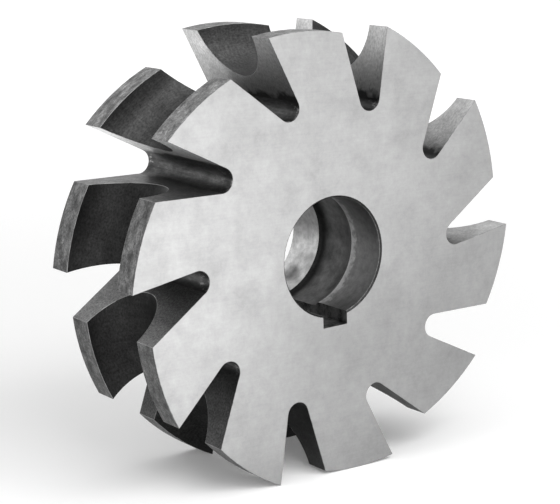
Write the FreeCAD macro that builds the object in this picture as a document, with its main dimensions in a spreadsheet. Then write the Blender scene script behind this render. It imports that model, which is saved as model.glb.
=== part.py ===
import FreeCAD, Part
import math
import os

import Sketcher
from FreeCAD import Placement, Rotation, Vector

# A concave milling cutter: one piece of tool steel with form-relieved teeth.
# The spin axis is Y, with the front face towards -Y, +Z up, and the origin on the
# axis halfway between the faces. The cutter stands on the land of one tooth and on
# the cutting edge of the tooth behind it.

# Name, value and meaning of each driving dimension, in millimetres, degrees or a count.
DIMENSIONS = (
    ("OuterDiameter", 125.0, "across the cutting edges"),
    ("CutterWidth", 40.0, "between the two ground faces"),
    ("FormRadius", 12.5, "half-round groove along the rim"),
    ("ToothCount", 10, "teeth round the rim"),
    ("RakeAngle", 9.0, "lean of the cutting face off the radius"),
    ("ReliefAngle", 8.4, "fall of the tooth's back behind the cutting edge"),
    ("ReliefExitAngle", 3.0, "the relieving cut ends this far short of the next tooth"),
    ("GulletDepth", 22.8, "from the cutting edge down to the gullet's root"),
    ("GulletAngle", 25.5, "between the two walls of a gullet"),
    ("GulletRootRadius", 3.3, "round at the root of a gullet"),
    ("BoreDiameter", 32.0, "ground lands that sit on the arbor"),
    ("BoreChamfer", 0.5, "at both ends of the bore"),
    ("BoreLandLength", 12.6, "each land, from the face inwards"),
    ("RecessDepth", 1.2, "clearance turned between the two lands"),
    ("RecessEdgeRadius", 0.4, "where a land rolls over into the recess"),
    ("RecessCornerRadius", 3.0, "where the recess meets its shoulder"),
    ("KeywayWidth", 8.0, "slot for the arbor's key"),
    ("KeywayHeight", 35.0, "from the keyway's floor across to the far side of the bore"),
    ("TurningAllowance", 1.0, "stock outside the cutting edges before the teeth are relieved"),
)

# Lengths and angles that follow from the driving dimensions.
TIP_RADIUS = "(Dimensions.OuterDiameter / 2)"
BLANK_RADIUS = f"({TIP_RADIUS} + Dimensions.TurningAllowance)"
BORE_RADIUS = "(Dimensions.BoreDiameter / 2)"
PITCH = "(360 / Dimensions.ToothCount)"
HALF_PITCH = "(180 / Dimensions.ToothCount)"

# The back of a tooth is turned about an axis beside the cutter's own, so it falls
# away behind the cutting edge and the form stays the same when the face is reground.
RELIEF_OFFSET = f"({TIP_RADIUS} * tan(Dimensions.ReliefAngle))"
RELIEF_RADIUS = f"sqrt({TIP_RADIUS}^2 + {RELIEF_OFFSET}^2)"
FORM_BOTTOM_RADIUS = f"sqrt(({TIP_RADIUS} - Dimensions.FormRadius)^2 + {RELIEF_OFFSET}^2)"

# The next cutting edge, seen from the axis that relieves the tooth before it.
NEXT_EDGE_ACROSS = f"({RELIEF_OFFSET} + {TIP_RADIUS} * sin({PITCH}))"
NEXT_EDGE_DOWN = f"({TIP_RADIUS} * cos({PITCH}))"
NEXT_EDGE_REACH = f"sqrt({NEXT_EDGE_ACROSS}^2 + {NEXT_EDGE_DOWN}^2)"
NEXT_EDGE_ANGLE = f"atan2({NEXT_EDGE_ACROSS}; {NEXT_EDGE_DOWN})"
RELIEF_SWEEP = f"90 deg + {NEXT_EDGE_ANGLE} - Dimensions.ReliefExitAngle * 1 deg"

# Turn that sets the first tooth's land and the next cutting edge on one level floor.
REST_TURN = f"{NEXT_EDGE_ANGLE} - acos({RELIEF_RADIUS} / {NEXT_EDGE_REACH})"

START, END, CENTRE = 1, 2, 3
ORIGIN = (-1, START)
HORIZONTAL_AXIS = -1
VERTICAL_AXIS = -2


def make_sheet(document):
    sheet = document.addObject("Spreadsheet::Sheet", "Dimensions")
    for row, (name, value, meaning) in enumerate(DIMENSIONS, start=1):
        sheet.set(f"A{row}", name)
        sheet.set(f"B{row}", str(value))
        sheet.set(f"C{row}", meaning)
        sheet.setAlias(f"B{row}", name)
    document.recompute()
    return sheet


def value_of(sheet, expression):
    """The number that an expression gives, angles in degrees."""
    result = sheet.evalExpression(expression)
    return float(getattr(result, "Value", result))


def origin_part(body, role):
    """A base plane or axis of the body, found by its role."""
    return next(part for part in body.Origin.OriginFeatures if part.Role == role)


class Profile:
    """A sketch on a base plane of the body, with its sizes bound to the sheet."""

    def __init__(self, body, name, plane, sheet):
        self.sheet = sheet
        self.sketch = body.newObject("Sketcher::SketchObject", name)
        self.sketch.AttachmentSupport = [(origin_part(body, plane), "")]
        self.sketch.MapMode = "FlatFace"

    def line(self, start, end, construction=False):
        segment = Part.LineSegment(Vector(*start, 0), Vector(*end, 0))
        return self.sketch.addGeometry(segment, construction)

    def arc(self, centre, radius, first_angle, last_angle):
        circle = Part.Circle(Vector(*centre, 0), Vector(0, 0, 1), radius)
        arc = Part.ArcOfCircle(circle, math.radians(first_angle), math.radians(last_angle))
        return self.sketch.addGeometry(arc)

    def point(self, place):
        return self.sketch.addGeometry(Part.Point(Vector(*place, 0)), True)

    def join(self, *pairs):
        for first, second in pairs:
            self.tie("Coincident", *first, *second)

    def blend(self, *pairs):
        """Join ends so that one curve runs smoothly into the next."""
        for first, second in pairs:
            self.tie("Tangent", *first, *second)

    def tie(self, kind, *references):
        self.sketch.addConstraint(Sketcher.Constraint(kind, *references))

    def measure(self, name, kind, references, expression):
        value = value_of(self.sheet, expression)
        if kind == "Angle":
            value = math.radians(value)
        index = self.sketch.addConstraint(Sketcher.Constraint(kind, *references, value))
        self.sketch.renameConstraint(index, name)
        self.sketch.setExpression(f"Constraints.{name}", expression)


def turn_blank(body, sheet):
    """The turned blank: a disc with its bore, lands, chamfers and recess."""
    rim = value_of(sheet, BLANK_RADIUS)
    bore = value_of(sheet, BORE_RADIUS)
    face = sheet.CutterWidth / 2
    chamfer = sheet.BoreChamfer
    land_end = face - sheet.BoreLandLength
    edge = sheet.RecessEdgeRadius
    corner = sheet.RecessCornerRadius
    recess = bore + sheet.RecessDepth
    swing = math.degrees(math.acos(1 - sheet.RecessDepth / (edge + corner)))
    recess_end = land_end - (edge + corner) * math.sin(math.radians(swing))

    section = Profile(body, "blank_section", "XY_Plane", sheet)
    front_face = section.line((bore + chamfer, -face), (rim, -face))
    outside = section.line((rim, -face), (rim, face))
    rear_face = section.line((rim, face), (bore + chamfer, face))
    rear_chamfer = section.line((bore + chamfer, face), (bore, face - chamfer))
    rear_land = section.line((bore, face - chamfer), (bore, land_end))
    rear_edge = section.arc((bore + edge, land_end), edge, 180, 180 + swing)
    rear_corner = section.arc((recess - corner, recess_end), corner, 0, swing)
    recess_wall = section.line((recess, recess_end), (recess, -recess_end))
    front_corner = section.arc((recess - corner, -recess_end), corner, -swing, 0)
    front_edge = section.arc((bore + edge, -land_end), edge, 180 - swing, 180)
    front_land = section.line((bore, -land_end), (bore, chamfer - face))
    front_chamfer = section.line((bore, chamfer - face), (bore + chamfer, -face))

    section.join(
        ((front_face, END), (outside, START)),
        ((outside, END), (rear_face, START)),
        ((rear_face, END), (rear_chamfer, START)),
        ((rear_chamfer, END), (rear_land, START)),
        ((front_land, END), (front_chamfer, START)),
        ((front_chamfer, END), (front_face, START)),
    )
    section.blend(
        ((rear_land, END), (rear_edge, START)),
        ((rear_edge, END), (rear_corner, END)),
        ((rear_corner, START), (recess_wall, START)),
        ((recess_wall, END), (front_corner, END)),
        ((front_corner, START), (front_edge, START)),
        ((front_edge, END), (front_land, START)),
    )
    for level in (front_face, rear_face):
        section.tie("Horizontal", level)
    for upright in (rear_land, recess_wall, front_land):
        section.tie("Vertical", upright)
    section.tie("Symmetric", outside, START, outside, END, HORIZONTAL_AXIS)
    section.tie("Symmetric", rear_land, START, front_land, END, HORIZONTAL_AXIS)
    for first, second in (
        (front_face, rear_face),
        (front_land, rear_land),
        (front_edge, rear_edge),
        (front_corner, rear_corner),
    ):
        section.tie("Equal", first, second)

    section.measure("BlankRadius", "DistanceX", (*ORIGIN, outside, START), BLANK_RADIUS)
    section.measure("FaceToFace", "DistanceY", (outside, START, outside, END), "Dimensions.CutterWidth")
    section.measure("BoreRadius", "DistanceX", (*ORIGIN, rear_land, START), BORE_RADIUS)
    section.measure(
        "ChamferAcross", "DistanceX", (rear_land, START, rear_face, END), "Dimensions.BoreChamfer"
    )
    section.measure(
        "ChamferAlong", "DistanceY", (rear_land, START, rear_face, END), "Dimensions.BoreChamfer"
    )
    section.measure(
        "LandLength", "DistanceY", (rear_land, END, rear_face, END), "Dimensions.BoreLandLength"
    )
    section.measure(
        "RecessDepth", "DistanceX", (rear_land, END, recess_wall, START), "Dimensions.RecessDepth"
    )
    section.measure("EdgeRadius", "Radius", (rear_edge,), "Dimensions.RecessEdgeRadius")
    section.measure("CornerRadius", "Radius", (rear_corner,), "Dimensions.RecessCornerRadius")

    blank = body.newObject("PartDesign::Revolution", "turned_blank")
    blank.Profile = section.sketch
    blank.ReferenceAxis = (section.sketch, ["V_Axis"])
    blank.Angle = 360
    return blank


def broach_keyway(body, sheet):
    """The keyway, half a pitch behind the first cutting edge, through the whole width."""
    half_width = sheet.KeywayWidth / 2
    floor = value_of(sheet, BORE_RADIUS) - sheet.KeywayHeight

    slot = Profile(body, "keyway_section", "XZ_Plane", sheet)
    bottom = slot.line((-half_width, floor), (half_width, floor))
    right = slot.line((half_width, floor), (half_width, 0))
    top = slot.line((half_width, 0), (-half_width, 0))
    left = slot.line((-half_width, 0), (-half_width, floor))
    slot.join(
        ((bottom, END), (right, START)),
        ((right, END), (top, START)),
        ((top, END), (left, START)),
        ((left, END), (bottom, START)),
    )
    slot.tie("Symmetric", bottom, START, bottom, END, VERTICAL_AXIS)
    slot.tie("Vertical", right)
    slot.tie("Vertical", left)
    slot.tie("Horizontal", top)
    slot.tie("PointOnObject", top, START, HORIZONTAL_AXIS)
    slot.measure("Width", "DistanceX", (bottom, START, bottom, END), "Dimensions.KeywayWidth")
    slot.measure(
        "Depth", "DistanceY", (bottom, START, left, START), f"Dimensions.KeywayHeight - {BORE_RADIUS}"
    )
    slot.sketch.AttachmentOffset = Placement(Vector(), Rotation(Vector(0, 0, -1), 1))
    slot.sketch.setExpression("AttachmentOffset.Rotation.Angle", HALF_PITCH)

    keyway = body.newObject("PartDesign::Pocket", "keyway")
    keyway.Profile = slot.sketch
    keyway.Type = "ThroughAll"
    keyway.SideType = "Symmetric"
    return keyway


def gash_gullet(body, sheet):
    """The V-shaped gullet in front of the first tooth, whose cutting edge points down."""
    tip = value_of(sheet, TIP_RADIUS)
    rake = sheet.RakeAngle
    root = sheet.GulletRootRadius
    root_height = -(tip - sheet.GulletDepth + root)
    outside = -(value_of(sheet, BLANK_RADIUS) + sheet.TurningAllowance)
    face_lean = math.tan(math.radians(rake))
    back_lean = math.tan(math.radians(rake + sheet.GulletAngle))

    gash = Profile(body, "gullet_section", "XZ_Plane", sheet)
    cutting_edge = gash.point((0, -tip))
    cutting_face = gash.line((-(tip + root_height) * face_lean, root_height), (0, outside))
    mouth = gash.line((0, outside), ((root_height - outside) * back_lean, outside))
    tooth_back = gash.line((root, root_height), ((root_height - outside) * back_lean, outside))
    round_root = gash.arc((0, root_height), root, rake + sheet.GulletAngle, 180 + rake)
    gash.join(
        ((cutting_face, END), (mouth, START)),
        ((mouth, END), (tooth_back, END)),
    )
    gash.blend(
        ((round_root, START), (tooth_back, START)),
        ((round_root, END), (cutting_face, START)),
    )
    gash.tie("PointOnObject", cutting_edge, START, VERTICAL_AXIS)
    gash.tie("PointOnObject", cutting_edge, START, cutting_face)
    gash.tie("Horizontal", mouth)
    gash.measure("TipRadius", "DistanceY", (cutting_edge, START, *ORIGIN), TIP_RADIUS)
    gash.measure(
        "FaceLean", "Angle", (cutting_face,), "(Dimensions.RakeAngle - 90) * 1 deg"
    )
    gash.measure(
        "BackLean", "Angle", (tooth_back,), "(Dimensions.RakeAngle + Dimensions.GulletAngle - 90) * 1 deg"
    )
    gash.measure("RootRadius", "Radius", (round_root,), "Dimensions.GulletRootRadius")
    gash.measure(
        "RootPlace",
        "Distance",
        (*ORIGIN, round_root, CENTRE),
        f"{TIP_RADIUS} - Dimensions.GulletDepth + Dimensions.GulletRootRadius",
    )
    gash.measure(
        "MouthPlace", "DistanceY", (mouth, START, *ORIGIN), f"{BLANK_RADIUS} + Dimensions.TurningAllowance"
    )

    gullet = body.newObject("PartDesign::Pocket", "gullet")
    gullet.Profile = gash.sketch
    gullet.Type = "ThroughAll"
    gullet.SideType = "Symmetric"
    return gullet


def relieve_tooth(body, sheet):
    """The back of the first tooth: two lands and a half-round form, turned off centre."""
    axis_place = value_of(sheet, RELIEF_OFFSET)
    land = axis_place + value_of(sheet, RELIEF_RADIUS)
    form_centre = axis_place + value_of(sheet, FORM_BOTTOM_RADIUS) + sheet.FormRadius
    form = sheet.FormRadius
    side = sheet.CutterWidth / 2 + sheet.TurningAllowance
    outside = land + sheet.GulletDepth
    opening = math.degrees(math.acos((form_centre - land) / form))
    shoulder = form * math.sin(math.radians(opening))

    relief = Profile(body, "relief_section", "XY_Plane", sheet)
    turning_axis = relief.line((axis_place, -side), (axis_place, side), True)
    front_land = relief.line((land, -side), (land, -shoulder))
    form_arc = relief.arc((form_centre, 0), form, 180 - opening, 180 + opening)
    rear_land = relief.line((land, shoulder), (land, side))
    rear_side = relief.line((land, side), (outside, side))
    outer_side = relief.line((outside, side), (outside, -side))
    front_side = relief.line((outside, -side), (land, -side))
    relief.join(
        ((front_land, END), (form_arc, END)),
        ((form_arc, START), (rear_land, START)),
        ((rear_land, END), (rear_side, START)),
        ((rear_side, END), (outer_side, START)),
        ((outer_side, END), (front_side, START)),
        ((front_side, END), (front_land, START)),
    )
    for upright in (front_land, rear_land):
        relief.tie("Vertical", upright)
    for level in (front_side, rear_side):
        relief.tie("Horizontal", level)
    relief.tie("Symmetric", turning_axis, START, turning_axis, END, HORIZONTAL_AXIS)
    relief.tie("Symmetric", outer_side, START, outer_side, END, HORIZONTAL_AXIS)
    relief.tie("PointOnObject", form_arc, CENTRE, HORIZONTAL_AXIS)
    relief.tie("Vertical", form_arc, START, form_arc, END)
    whole_width = "Dimensions.CutterWidth + 2 * Dimensions.TurningAllowance"
    relief.measure("AxisOffset", "DistanceX", (*ORIGIN, turning_axis, START), RELIEF_OFFSET)
    relief.measure("AxisLength", "DistanceY", (turning_axis, START, turning_axis, END), whole_width)
    relief.measure("LandRadius", "DistanceX", (turning_axis, START, front_land, START), RELIEF_RADIUS)
    relief.measure("FormRadius", "Radius", (form_arc,), "Dimensions.FormRadius")
    relief.measure(
        "FormPlace",
        "DistanceX",
        (turning_axis, START, form_arc, CENTRE),
        f"{FORM_BOTTOM_RADIUS} + Dimensions.FormRadius",
    )
    relief.measure("WholeWidth", "DistanceY", (outer_side, END, outer_side, START), whole_width)
    relief.measure(
        "OutsidePlace", "DistanceX", (front_land, START, outer_side, END), "Dimensions.GulletDepth"
    )

    back = body.newObject("PartDesign::Groove", "relieved_back")
    back.Profile = relief.sketch
    back.ReferenceAxis = (relief.sketch, ["Axis0"])
    back.setExpression("Angle", RELIEF_SWEEP)
    return back


def repeat_round_rim(body, features):
    """Every tooth is the same, so the gullet and the relieved back go all round."""
    teeth = body.newObject("PartDesign::PolarPattern", "teeth")
    teeth.Originals = features
    teeth.Axis = (origin_part(body, "Y_Axis"), [""])
    teeth.Angle = 360
    teeth.setExpression("Occurrences", "Dimensions.ToothCount")
    return teeth


def make_cutter(document, sheet):
    body = document.addObject("PartDesign::Body", "milling_cutter")
    body.Label = "milling_cutter"
    turn_blank(body, sheet)
    broach_keyway(body, sheet)
    gullet = gash_gullet(body, sheet)
    document.recompute()
    back = relieve_tooth(body, sheet)
    document.recompute()
    body.Tip = repeat_round_rim(body, [gullet, back])
    body.Placement = Placement(Vector(), Rotation(Vector(0, -1, 0), 1))
    body.setExpression("Placement.Rotation.Angle", REST_TURN)
    document.recompute()
    return body


def check(document, bodies):
    """Stop before anything is written if a feature or a solid has failed."""
    for item in document.Objects:
        if "Invalid" in item.State or "Error" in item.State:
            raise RuntimeError(f"{item.Name} could not be computed")
        if item.TypeId == "Sketcher::SketchObject" and not item.FullyConstrained:
            raise RuntimeError(f"{item.Name} is not fully constrained")
    for body in bodies:
        if body.Shape.isNull() or not body.Shape.isValid():
            raise RuntimeError(f"{body.Label} has no valid solid")
        if len(body.Shape.Solids) != 1:
            raise RuntimeError(f"{body.Label} is not one solid")


def write_steps(bodies):
    os.makedirs("parts", exist_ok=True)
    for body in bodies:
        body.Shape.exportStep(f"parts/{body.Label}.step")


document = FreeCAD.newDocument("concave_milling_cutter")
dimensions = make_sheet(document)
cutter = make_cutter(document, dimensions)
check(document, [cutter])
write_steps([cutter])
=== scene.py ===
import math

import bmesh
import bpy
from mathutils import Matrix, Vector


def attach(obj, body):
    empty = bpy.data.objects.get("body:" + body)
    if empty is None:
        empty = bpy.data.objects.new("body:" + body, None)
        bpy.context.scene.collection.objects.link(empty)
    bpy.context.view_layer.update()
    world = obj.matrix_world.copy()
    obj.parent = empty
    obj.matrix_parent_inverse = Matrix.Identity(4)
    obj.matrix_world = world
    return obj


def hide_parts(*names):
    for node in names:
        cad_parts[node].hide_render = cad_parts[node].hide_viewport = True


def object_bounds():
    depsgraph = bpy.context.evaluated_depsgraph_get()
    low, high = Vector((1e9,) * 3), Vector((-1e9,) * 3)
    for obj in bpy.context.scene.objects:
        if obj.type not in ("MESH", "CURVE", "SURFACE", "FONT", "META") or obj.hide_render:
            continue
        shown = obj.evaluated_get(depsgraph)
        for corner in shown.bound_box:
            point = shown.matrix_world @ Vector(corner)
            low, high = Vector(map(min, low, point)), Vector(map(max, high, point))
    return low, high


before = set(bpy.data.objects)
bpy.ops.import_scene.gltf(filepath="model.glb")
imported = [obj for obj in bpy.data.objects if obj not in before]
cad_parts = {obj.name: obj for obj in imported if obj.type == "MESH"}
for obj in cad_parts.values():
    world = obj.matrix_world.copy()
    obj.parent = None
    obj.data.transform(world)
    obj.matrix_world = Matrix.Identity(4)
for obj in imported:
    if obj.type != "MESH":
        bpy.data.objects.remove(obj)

# A form-relieved concave milling cutter on a pale studio floor, in metres.
# The spin axis is Y, the front face looks towards -Y and +Z is up.

CAD_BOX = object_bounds()
MM = 0.001

# Sizes that tell one machined surface from another.
TOOTH_COUNT = 10
PITCH = 2 * math.pi / TOOTH_COUNT
FIRST_EDGE_ANGLE = math.radians(1.873)
TIP_RADIUS = 62.5 * MM
HALF_WIDTH = 20 * MM
FORM_RADIUS = 12.5 * MM
RELIEF_OFFSET = 9.229 * MM
FORM_CENTRE_REACH = 63.345 * MM
BORE_RADIUS = 16 * MM
BORE_REACH = 19.5 * MM
KEYWAY_REACH = 18 * MM
BORE_LAND_START = 7.4 * MM
BORE_CHAMFER = 0.5 * MM
ROOT_REACH = 43.6 * MM
LAND_DEPTH = 5 * MM

# How exactly a face has to lie or look one way to be sorted by it.
SIDE_SLACK = 0.01 * MM
AXIAL_SLACK = 1e-3
FACES_AXIS = -0.97
FACES_OUT = 0.9
EDGE_SLACK = 0.05

# How the surface is joined up and its edges are broken.
WELD_DISTANCE = 2e-6
FLAT_ANGLE = math.radians(0.3)
EDGE_BREAK = 0.1 * MM
EDGE_SEGMENTS = 2

ZONES = (
    "ground_side",
    "land",
    "form_groove",
    "cutting_face",
    "tooth_back",
    "gullet_root",
    "bore_land",
    "bore_recess",
    "bore_chamfer",
    "keyway",
    "broken_edge",
)
ROUND_ZONES = ("land", "form_groove", "gullet_root", "bore_land", "bore_recess")
SOFT_JOINS = (
    {"cutting_face", "gullet_root"},
    {"tooth_back", "gullet_root"},
    {"bore_land", "bore_recess"},
)

# The surface map in millimetres, and how far apart on it two teeth lie.
LAY = "lay"
TOOTH_APART = 53.0

# How light each tooth is, and the walls and root of the gullet in front of it: partly the scale's
# own uneven tone and mostly painted light and shade, so that the walls and roots of the lower
# gullets are painted dark.
TONE = "tone"
TONES_AND_PAINTED_SHADE = {
    "land": (1.0, 1.0, 1.0, 1.14, 1.24, 0.88, 0.7, 0.85, 0.7, 0.9),
    "form_groove": (1.2, 1.3, 1.7, 2.0, 1.5, 0.82, 0.84, 1.2, 1.4, 1.2),
    "cutting_face": (0.93, 1.0, 1.4, 1.55, 2.1, 1.6, 1.4, 0.38, 0.2, 0.42),
    "tooth_back": (0.85, 0.88, 0.88, 1.6, 1.2, 1.3, 1.38, 0.45, 0.2, 0.25),
    "gullet_root": (0.6, 0.2, 0.95, 2.3, 2.2, 2.2, 1.7, 0.36, 0.2, 0.2),
}

# The ground sides are painted with shade towards this side, down to this share at this many
# millimetres.
PAINTED_SHADE_SIDE = (0.5, 0, -0.86)
PAINTED_SHADE_SHARE = 0.86
PAINTED_SHADE_END = 60


def zone_of(centre, normal):
    """The machined surface that a face of the cutter belongs to."""
    reach = math.hypot(centre.x, centre.z)
    outward = (normal.x * centre.x + normal.z * centre.z) / reach
    along_axis = abs(normal.y) < AXIAL_SLACK
    if abs(centre.y) > HALF_WIDTH - SIDE_SLACK:
        return "ground_side"
    if reach < BORE_REACH:
        if along_axis and (outward > FACES_AXIS or reach > KEYWAY_REACH):
            return "keyway"
        if not along_axis and abs(centre.y) > HALF_WIDTH - BORE_CHAMFER:
            return "bore_chamfer"
        return "bore_recess" if abs(centre.y) < BORE_LAND_START else "bore_land"
    if not along_axis:
        return "form_groove"
    if outward > FACES_OUT and reach > TIP_RADIUS - LAND_DEPTH:
        return "land"
    if reach < ROOT_REACH:
        return "gullet_root"
    turn = math.atan2(normal.z, normal.x) - math.atan2(centre.z, centre.x)
    return "cutting_face" if math.sin(turn) > 0 else "tooth_back"


def tone_and_shade_of(zone, tooth):
    """How light this surface is on this tooth, about 1: the scale's own tone with painted light
    and shade.
    """
    return TONES_AND_PAINTED_SHADE[zone][tooth % TOOTH_COUNT] if zone in TONES_AND_PAINTED_SHADE else 1.0


def tooth_behind(angle):
    """The number of the tooth at this angle about the axis, or behind the gullet there."""
    return math.ceil((angle - FIRST_EDGE_ANGLE) / PITCH - EDGE_SLACK)


def lay_of(point, zone, tooth):
    """Where a point lies on its surface, in millimetres along and across the tool marks."""
    reach = math.hypot(point.x, point.z)
    angle = math.atan2(point.z, point.x)
    apart = TOOTH_APART * tooth
    if zone in ("form_groove", "land"):
        axis_angle = FIRST_EDGE_ANGLE + tooth * PITCH + math.pi / 2
        across = point.x - RELIEF_OFFSET * math.cos(axis_angle)
        up = point.z - RELIEF_OFFSET * math.sin(axis_angle)
        relief_reach = math.hypot(across, up)
        swing = (math.atan2(up, across) - axis_angle + math.pi / 2 + math.pi) % (2 * math.pi)
        along = (swing - math.pi) * TIP_RADIUS
        if zone == "land":
            return along / MM + apart, point.y / MM
        lean = math.atan2(point.y, FORM_CENTRE_REACH - relief_reach)
        return along / MM + apart, lean * FORM_RADIUS / MM
    if zone in ("cutting_face", "tooth_back", "gullet_root"):
        return point.y / MM + apart, reach / MM
    if zone in ("bore_land", "bore_recess", "bore_chamfer"):
        return angle * BORE_RADIUS / MM, point.y / MM
    if zone == "keyway":
        return point.y / MM, point.x / MM + point.z / MM
    return point.x / MM, point.z / MM


def mark_faces(shape):
    """Sets each face's finish, tone with painted light and shade, and surface map, and gives back
    its zone.
    """
    lay = shape.loops.layers.uv.new(LAY)
    tone = shape.faces.layers.float.new(TONE)
    zones = {}
    for face in shape.faces:
        centre = face.calc_center_median()
        zone = zones[face] = zone_of(centre, face.normal)
        tooth = tooth_behind(math.atan2(centre.z, centre.x))
        face.material_index = ZONES.index(zone)
        face.smooth = zone in ROUND_ZONES
        face[tone] = tone_and_shade_of(zone, tooth)
        for loop in face.loops:
            loop[lay].uv = lay_of(loop.vert.co, zone, tooth)
    return zones


def mark_edges(shape, zones):
    """Marks the edges between machined surfaces: broken, or left sharp where they are small."""
    break_edge = shape.edges.layers.float.new("bevel_weight_edge")
    for edge in shape.edges:
        if len(edge.link_faces) != 2:
            continue
        joined = {zones[face] for face in edge.link_faces}
        if len(joined) == 1 or joined in SOFT_JOINS:
            continue
        if "keyway" in joined or joined == {"ground_side", "bore_chamfer"}:
            edge.smooth = False
        else:
            edge[break_edge] = 1.0


def cutter_mesh(node):
    """The CAD solid's surface, with its points welded and its flat regions joined."""
    mesh = node.data.copy()
    mesh.name = "cutter_surface"
    mesh.materials.clear()
    shape = bmesh.new()
    shape.from_mesh(mesh)
    for layer in list(shape.loops.layers.uv.values()):
        shape.loops.layers.uv.remove(layer)
    bmesh.ops.remove_doubles(shape, verts=shape.verts, dist=WELD_DISTANCE)
    bmesh.ops.dissolve_limit(
        shape, angle_limit=FLAT_ANGLE, verts=shape.verts, edges=shape.edges
    )
    mark_edges(shape, mark_faces(shape))
    shape.to_mesh(mesh)
    shape.free()
    return mesh


# Procedural finishes.

def make(tree, kind, inputs=None, **settings):
    """A node with its settings and its inputs, each a value or the socket that feeds it."""
    node = tree.nodes.new(kind)
    for name, value in settings.items():
        setattr(node, name, value)
    for name, value in (inputs or {}).items():
        if isinstance(value, bpy.types.NodeSocket):
            tree.links.new(value, node.inputs[name])
        else:
            node.inputs[name].default_value = value
    return node


class Finish:
    """A procedural bare steel finish, built up from noise in millimetres."""

    def __init__(self, name):
        self.material = bpy.data.materials.new(name)
        self.material.use_nodes = True
        self.tree = self.material.node_tree
        self.shader = self.tree.nodes["Principled BSDF"]
        self.shader.inputs["Metallic"].default_value = 1.0

    def place(self, source, scale):
        """The coordinates from this socket, scaled along each axis."""
        return make(self.tree, "ShaderNodeMapping", {"Vector": source, "Scale": scale}).outputs[0]

    def space(self, stretch=(1, 1, 1)):
        """Object coordinates in millimetres, stretched along each axis."""
        source = make(self.tree, "ShaderNodeTexCoord").outputs["Object"]
        return self.place(source, tuple(factor / MM for factor in stretch))

    def lay(self, along=1.0, across=1.0):
        """Surface coordinates in millimetres, along and across the tool marks."""
        source = make(self.tree, "ShaderNodeUVMap", uv_map=LAY).outputs[0]
        return self.place(source, (along, across, 1))

    def across_lay(self):
        """Distance from the axis on a tooth's walls, and place along the axis in the bore."""
        return self.split(self.lay())[1]

    def noise(self, place, size, detail=3.0, roughness=0.55):
        """Soft noise from 0 to 1, with features of about this size in millimetres."""
        inputs = {"Vector": place, "Scale": 1 / size, "Detail": detail, "Roughness": roughness}
        return make(self.tree, "ShaderNodeTexNoise", inputs).outputs[0]

    def spread(self, value, low, high, start=0.3, end=0.7):
        """value from start to end, turned into low to high."""
        inputs = {
            "Value": value,
            "From Min": start,
            "From Max": end,
            "To Min": low,
            "To Max": high,
        }
        return make(self.tree, "ShaderNodeMapRange", inputs).outputs[0]

    def vary(self, place, size, depth, detail=5.0, roughness=0.7):
        """Noise about 1, with features of up to this size, that goes this far either way."""
        return self.spread(self.noise(place, size, detail, roughness), 1 - depth, 1 + depth)

    def tooth_tone_and_shade(self):
        """How light the steel is on this tooth or in this gullet, about 1, with painted light and
        shade.
        """
        return make(self.tree, "ShaderNodeAttribute", attribute_name=TONE).outputs["Fac"]

    def fold(self, operation, values):
        """All the values, joined one after the other by this operation."""
        total = values[0]
        for value in values[1:]:
            total = make(
                self.tree, "ShaderNodeMath", {0: total, 1: value}, operation=operation
            ).outputs[0]
        return total

    def times(self, *values):
        return self.fold("MULTIPLY", values)

    def plus(self, *values):
        return self.fold("ADD", values)

    def least(self, *values):
        return self.fold("MINIMUM", values)

    def unsigned(self, value):
        return make(self.tree, "ShaderNodeMath", {0: value}, operation="ABSOLUTE").outputs[0]

    def dot(self, place, direction):
        """How far a place lies in this direction."""
        inputs = {0: place, 1: direction}
        node = make(self.tree, "ShaderNodeVectorMath", inputs, operation="DOT_PRODUCT")
        return node.outputs["Value"]

    def split(self, place):
        return make(self.tree, "ShaderNodeSeparateXYZ", {"Vector": place}).outputs

    def colour(self, value):
        self.tree.links.new(value, self.shader.inputs["Base Color"])

    def roughness(self, value):
        self.tree.links.new(value, self.shader.inputs["Roughness"])

    def relief(self, height, depth):
        """Bumps this many millimetres deep."""
        inputs = {"Height": height, "Distance": depth * MM, "Strength": 1.0}
        bump = make(self.tree, "ShaderNodeBump", inputs)
        self.tree.links.new(bump.outputs[0], self.shader.inputs["Normal"])


# Millimetres from the axis at which the walls of a tooth start, and where the painted shade from
# the root of the gullet ends on them.
WALL_START = ROOT_REACH / MM
WALL_SHADE_END = WALL_START + 15


def ground_side():
    """Ground flat and bright, with soft clouds, faint smudges and painted shade down and towards
    +X.
    """
    finish = Finish("ground_side")
    steel = 0.36
    space = finish.space()
    cloud = finish.vary(space, 26, 0.03, detail=1)
    patch = finish.vary(space, 8, 0.16, detail=8, roughness=0.8)
    smudge = finish.spread(finish.noise(space, 16, detail=3), 1.0, 0.93, 0.56, 0.7)
    lines = finish.noise(finish.lay(0.05, 1.0), 0.45, detail=2)
    # Painted shade: the sides darken down and towards +X.
    darker_part = finish.spread(finish.dot(space, PAINTED_SHADE_SIDE), 1.0, PAINTED_SHADE_SHARE, 0, PAINTED_SHADE_END)
    streak = finish.spread(lines, 0.98, 1.02)
    finish.colour(finish.times(steel, cloud, patch, smudge, darker_part, streak))
    finish.roughness(finish.spread(patch, 0.42, 0.36, 0.9, 1.1))
    finish.relief(lines, 0.003)
    return finish.material


def land():
    """Turned with the tooth's relief, and stained in patches."""
    finish = Finish("land")
    steel = 0.155
    patch = finish.vary(finish.lay(0.6, 1.0), 3.2, 0.45, detail=1)
    blotch = finish.vary(finish.lay(0.8, 1.0), 1.5, 0.6, detail=5, roughness=0.85)
    grain = finish.vary(finish.lay(), 0.6, 0.45, detail=3)
    finish.colour(finish.times(steel, patch, blotch, grain, finish.tooth_tone_and_shade()))
    finish.roughness(finish.spread(blotch, 0.62, 0.48, 0.4, 1.6))
    finish.relief(grain, 0.006)
    return finish.material


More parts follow.
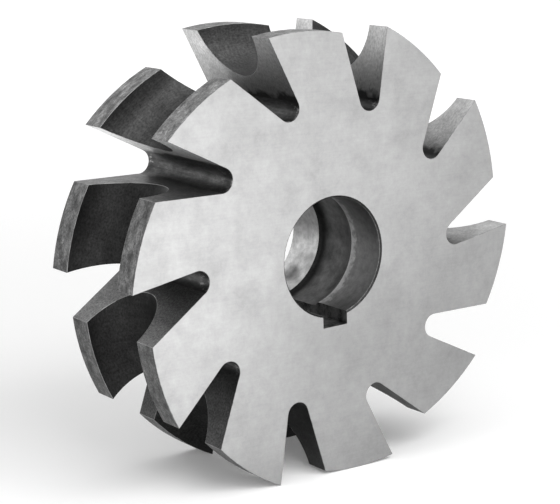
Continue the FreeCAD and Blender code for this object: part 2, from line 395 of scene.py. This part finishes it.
def form_groove():
    """Dark from hardening, with grain and chatter marks across the groove."""
    finish = Finish("form_groove")
    darkest, lightest = 0.019, 0.037
    stain = finish.noise(finish.lay(0.5, 1.0), 6.0, detail=6, roughness=0.72)
    grain = finish.vary(finish.lay(0.6, 1.0), 0.5, 0.42, detail=3)
    chatter = finish.vary(finish.lay(1.0, 0.1), 1.3, 0.16, detail=2)
    scale = finish.spread(stain, darkest, lightest)
    finish.colour(finish.times(scale, grain, chatter, finish.tooth_tone_and_shade()))
    finish.roughness(finish.spread(stain, 0.54, 0.44))
    finish.relief(grain, 0.01)
    return finish.material


def cutting_face():
    """Lighter towards the tip, with painted shade towards the root and a ragged painted shadow
    where the wall meets the root.
    """
    finish = Finish("cutting_face")
    at_root, at_tip = 0.19, 0.43
    stain = finish.vary(finish.lay(0.8, 0.8), 7.0, 0.28, detail=8, roughness=0.7)
    marks = finish.vary(finish.lay(1.0, 0.6), 0.55, 0.28, detail=3)
    reach = finish.across_lay()
    # Painted shade: the wall darkens towards the root of the gullet.
    root_shade = finish.spread(reach, at_root, at_tip, WALL_START, WALL_SHADE_END)
    waver = finish.spread(finish.noise(finish.lay(), 6.0, detail=3), -2, 2)
    ragged = finish.plus(reach, waver)
    # Painted shadow: a ragged dark band where the wall meets the root.
    root_blotch = finish.spread(ragged, 0.16, 1.0, WALL_START + 0.8, WALL_START + 2.6)
    finish.colour(finish.times(root_shade, root_blotch, stain, marks, finish.tooth_tone_and_shade()))
    finish.roughness(finish.spread(stain, 0.48, 0.38, 0.78, 1.22))
    finish.relief(marks, 0.006)
    return finish.material


def tooth_back():
    """Milled and left dark, with painted shade towards the root of the gullet."""
    finish = Finish("tooth_back")
    steel = 0.105
    stain = finish.vary(finish.lay(0.7, 1.0), 5.0, 0.42, detail=8, roughness=0.8)
    grain = finish.vary(finish.lay(), 0.55, 0.6, detail=3)
    # Painted shade: the wall darkens towards the root of the gullet.
    lightening = finish.spread(finish.across_lay(), 0.75, 1.25, WALL_START, WALL_SHADE_END)
    finish.colour(finish.times(steel, lightening, stain, grain, finish.tooth_tone_and_shade()))
    finish.roughness(finish.spread(stain, 0.5, 0.4, 0.7, 1.3))
    finish.relief(grain, 0.008)
    return finish.material


def gullet_root():
    """Dark scale, streaked along the root, with rough flaking patches and a burr at both ends."""
    finish = Finish("gullet_root")
    scale = 0.042
    end = HALF_WIDTH / MM
    root_blotch = finish.noise(finish.space((1, 0.5, 1)), 1.4, detail=7, roughness=0.75)
    streak = finish.vary(finish.space((1, 0.12, 1)), 1.4, 0.5, detail=4)
    from_middle = finish.unsigned(finish.split(finish.space())[1])
    rough_end = finish.spread(from_middle, 0, 1, end - 6, end - 2)
    flake = finish.times(
        finish.spread(root_blotch, 0, 3.4, 0.55, 0.66), finish.spread(rough_end, 0.07, 1, 0, 1)
    )
    burr = finish.times(
        finish.spread(from_middle, 0, 2.5, end - 1.2, end - 0.4),
        finish.spread(root_blotch, 0, 1, 0.45, 0.6),
    )
    black = finish.times(
        finish.spread(root_blotch, 0.6, 1.4), finish.spread(rough_end, 1.0, 0.6, 0, 1)
    )
    light = finish.plus(black, flake, burr)
    finish.colour(finish.times(scale, light, streak, finish.tooth_tone_and_shade()))
    finish.roughness(finish.spread(root_blotch, 0.48, 0.38))
    finish.relief(root_blotch, 0.03)
    return finish.material


def bore_land():
    """Darker at the front and lighter along the edge of the recess, with a painted reflection: a
    bright band across the far end.
    """
    finish = Finish("bore_land")
    steel = 0.165
    space = finish.space()
    cloud = finish.noise(space, 11, detail=2)
    mottle = finish.vary(space, 1.6, 0.26, detail=5, roughness=0.7)
    place = finish.across_lay()
    recess = -BORE_LAND_START / MM
    ragged = finish.plus(place, finish.spread(finish.noise(space, 2.5, detail=4), -1.5, 1.5))
    lightening = finish.spread(ragged, 1.0, 2.0, recess - 2.4, recess - 1.2)
    height = finish.plus(finish.split(space)[2], finish.spread(cloud, 3, 11))
    # The front land is lighter towards the bottom.
    darker_part = finish.times(steel, finish.spread(height, 1.3, 0.8, -8, 14), lightening)
    # Painted reflection: a bright band across the far land, wavering in height and fading above
    # and below it.
    above = finish.spread(height, 0.56, 0.18, 1, 7.5)
    below = finish.spread(height, 0.11, 0.56, -6.5, -1.5)
    bright = finish.least(above, below)
    front = finish.times(darker_part, finish.spread(place, 1, 0, -1, 1))
    rear = finish.times(bright, finish.spread(place, 0, 1, -1, 1))
    finish.colour(finish.times(finish.plus(front, rear), mottle))
    finish.roughness(finish.spread(cloud, 0.46, 0.36))
    finish.relief(mottle, 0.01)
    return finish.material


def bore_recess():
    """Turned, with painted shade at both ends of the recess."""
    finish = Finish("bore_recess")
    steel = 0.075
    mottle = finish.vary(finish.space(), 3.5, 0.4, detail=6, roughness=0.7)
    # Painted shade: the recess darkens towards both of its shoulders.
    scale = finish.spread(finish.unsigned(finish.across_lay()), 1.25, 0.44, 2.5, 6.5)
    height = finish.split(finish.space())[2]
    darker_above = finish.spread(height, 1.2, 0.72, -8, 3)
    finish.colour(finish.times(steel, mottle, scale, darker_above))
    finish.roughness(finish.spread(mottle, 0.55, 0.45, 0.6, 1.4))
    finish.relief(mottle, 0.02)
    return finish.material


def cut_steel(name, darkest, lightest, rough, size=2.0):
    """Plain cut steel, mottled between two tones."""
    finish = Finish(name)
    mottle = finish.noise(finish.space(), size, detail=5, roughness=0.7)
    finish.colour(finish.spread(mottle, darkest, lightest, 0.35, 0.65))
    finish.roughness(finish.spread(mottle, rough + 0.05, rough - 0.05))
    finish.relief(mottle, 0.01)
    return finish.material


FINISHES = {
    "ground_side": ground_side(),
    "land": land(),
    "form_groove": form_groove(),
    "cutting_face": cutting_face(),
    "tooth_back": tooth_back(),
    "gullet_root": gullet_root(),
    "bore_land": bore_land(),
    "bore_recess": bore_recess(),
    "bore_chamfer": cut_steel("bore_chamfer", 0.02, 0.04, 0.45),
    "keyway": cut_steel("keyway", 0.02, 0.3, 0.45, size=4.0),
    "broken_edge": cut_steel("broken_edge", 0.14, 0.36, 0.4),
}


def show(name, data):
    """A new object in the scene."""
    thing = bpy.data.objects.new(name, data)
    bpy.context.scene.collection.objects.link(thing)
    return thing


def make_cutter():
    """The cutter, with its edges broken and its flat faces shaded flat beside them."""
    cutter = show("cutter", cutter_mesh(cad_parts["milling_cutter"]))
    for zone in ZONES:
        cutter.data.materials.append(FINISHES[zone])
    edges = cutter.modifiers.new("edge_break", "BEVEL")
    edges.width = EDGE_BREAK
    edges.segments = EDGE_SEGMENTS
    edges.limit_method = "WEIGHT"
    edges.material = ZONES.index("broken_edge")
    edges.use_clamp_overlap = False
    normals = cutter.modifiers.new("flat_normals", "WEIGHTED_NORMAL")
    normals.weight = 100
    normals.keep_sharp = True
    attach(cutter, "root")
    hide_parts("milling_cutter")


# Studio.

FLOOR_Z = CAD_BOX[0].z
FLOOR_HALF = 20.0
PAPER = (0.9, 0.9, 0.9, 1)
WHITE = (1, 1, 1, 1)

# How much the floor is lifted to white where it is seen, near the cutter and far from it.
FLOOR_NEAR, FLOOR_NEAR_LIFT = 0.15, 0.12
FLOOR_FAR, FLOOR_FAR_LIFT = 0.8, 0.5

# The world is white where it is seen, and lights the cutter at this level.
WORLD_LEVEL = 0.4

# The softboxes' names, places, targets, sizes and brightness.
SOFTBOXES = (
    ("front", (-0.1225, -0.11, 0), (-0.1225, 0, 0), (0.285, 0.12), 1.02),
    ("front_low", (-0.02, -0.11, -0.03), (-0.02, 0, -0.03), (0.1, 0.06), 1.2),
    ("front_right", (0.06, -0.11, 0.025), (0.06, 0, 0.025), (0.08, 0.11), 0.62),
    ("key", (0.05, -0.46, 0.52), (0, 0, 0), (0.8, 0.22), 4.5),
)
OVERHEAD_PLACE = (-0.1, 0.0, 1.0)
OVERHEAD_SPREAD = math.radians(80)
OVERHEAD_STRENGTH = 0.9

CAMERA_PLACE = Vector((-278.50, -375.83, 94.35)) * MM
CAMERA_DIRECTION = Vector((0.5790, 0.7901, -0.2017))
CAMERA_LENS = 111.86
CAMERA_SENSOR = 36
CAMERA_RANGE = 0.01, 100


def seen_straight(tree):
    """1 for a ray that shows the background, straight on or in metal or glass, and 0 for light."""
    rays = make(tree, "ShaderNodeLightPath").outputs
    either = make(
        tree, "ShaderNodeMath", {0: rays["Is Camera Ray"], 1: rays["Is Glossy Ray"]},
        operation="MAXIMUM",
    )
    straight = make(
        tree, "ShaderNodeMath", {0: either.outputs[0], 1: rays["Is Transmission Ray"]},
        operation="MAXIMUM",
    )
    return straight.outputs[0]


def make_floor():
    """A paper floor, lifted to white where it is seen, most of all far from the cutter."""
    mesh = bpy.data.meshes.new("floor")
    corners = [(-1, -1), (1, -1), (1, 1), (-1, 1)]
    mesh.from_pydata(
        [(x * FLOOR_HALF, y * FLOOR_HALF, FLOOR_Z) for x, y in corners], [], [(0, 1, 2, 3)]
    )
    floor = show("floor", mesh)
    material = bpy.data.materials.new("floor_paper")
    material.use_nodes = True
    tree = material.node_tree
    shader = tree.nodes["Principled BSDF"]
    shader.inputs["Base Color"].default_value = PAPER
    shader.inputs["Roughness"].default_value = 0.9
    shader.inputs["Specular IOR Level"].default_value = 0.1
    shader.inputs["Emission Color"].default_value = WHITE
    place = make(tree, "ShaderNodeTexCoord").outputs["Object"]
    distance = make(tree, "ShaderNodeVectorMath", {0: place}, operation="LENGTH").outputs["Value"]
    lift = make(
        tree, "ShaderNodeMapRange",
        {
            "Value": distance, "From Min": FLOOR_NEAR, "From Max": FLOOR_FAR,
            "To Min": FLOOR_NEAR_LIFT, "To Max": FLOOR_FAR_LIFT,
        },
    ).outputs[0]
    seen = make(tree, "ShaderNodeMath", {0: seen_straight(tree), 1: lift}, operation="MULTIPLY")
    tree.links.new(seen.outputs[0], shader.inputs["Emission Strength"])
    mesh.materials.append(material)


def make_world():
    """White all round."""
    world = bpy.data.worlds.new("studio")
    world.use_nodes = True
    bpy.context.scene.world = world
    tree = world.node_tree
    background = tree.nodes["Background"]
    background.inputs["Color"].default_value = WHITE
    level = make(
        tree, "ShaderNodeMapRange",
        {"Value": seen_straight(tree), "To Min": WORLD_LEVEL, "To Max": 1.0},
    )
    tree.links.new(level.outputs[0], background.inputs["Strength"])


def point_at(thing, place, target):
    """Puts a lamp or the camera at a place, looking at the target."""
    thing.location = place
    direction = Vector(target) - Vector(place)
    thing.rotation_euler = direction.to_track_quat("-Z", "Y").to_euler()


def softbox(name, place, target, size, brightness):
    """A rectangular lamp whose face has this brightness."""
    lamp = bpy.data.lights.new(name, "AREA")
    lamp.shape = "RECTANGLE"
    lamp.size, lamp.size_y = size
    lamp.energy = brightness * math.pi * size[0] * size[1]
    box = show(name, lamp)
    box.visible_camera = False
    point_at(box, place, target)


def sky_light():
    """An even soft light from above."""
    lamp = bpy.data.lights.new("overhead", "SUN")
    lamp.angle = OVERHEAD_SPREAD
    lamp.energy = OVERHEAD_STRENGTH
    point_at(show("overhead", lamp), OVERHEAD_PLACE, (0, 0, 0))


def make_camera():
    """The camera at the photograph's viewing angle."""
    data = bpy.data.cameras.new("photo_view")
    data.sensor_width = CAMERA_SENSOR
    data.lens = CAMERA_LENS
    data.clip_start, data.clip_end = CAMERA_RANGE
    camera = show("photo_view", data)
    point_at(camera, CAMERA_PLACE, CAMERA_PLACE + CAMERA_DIRECTION)
    bpy.context.scene.camera = camera


make_cutter()
make_floor()
make_world()
for settings in SOFTBOXES:
    softbox(*settings)
sky_light()
make_camera()
bpy.context.scene.view_settings.view_transform = "Standard"
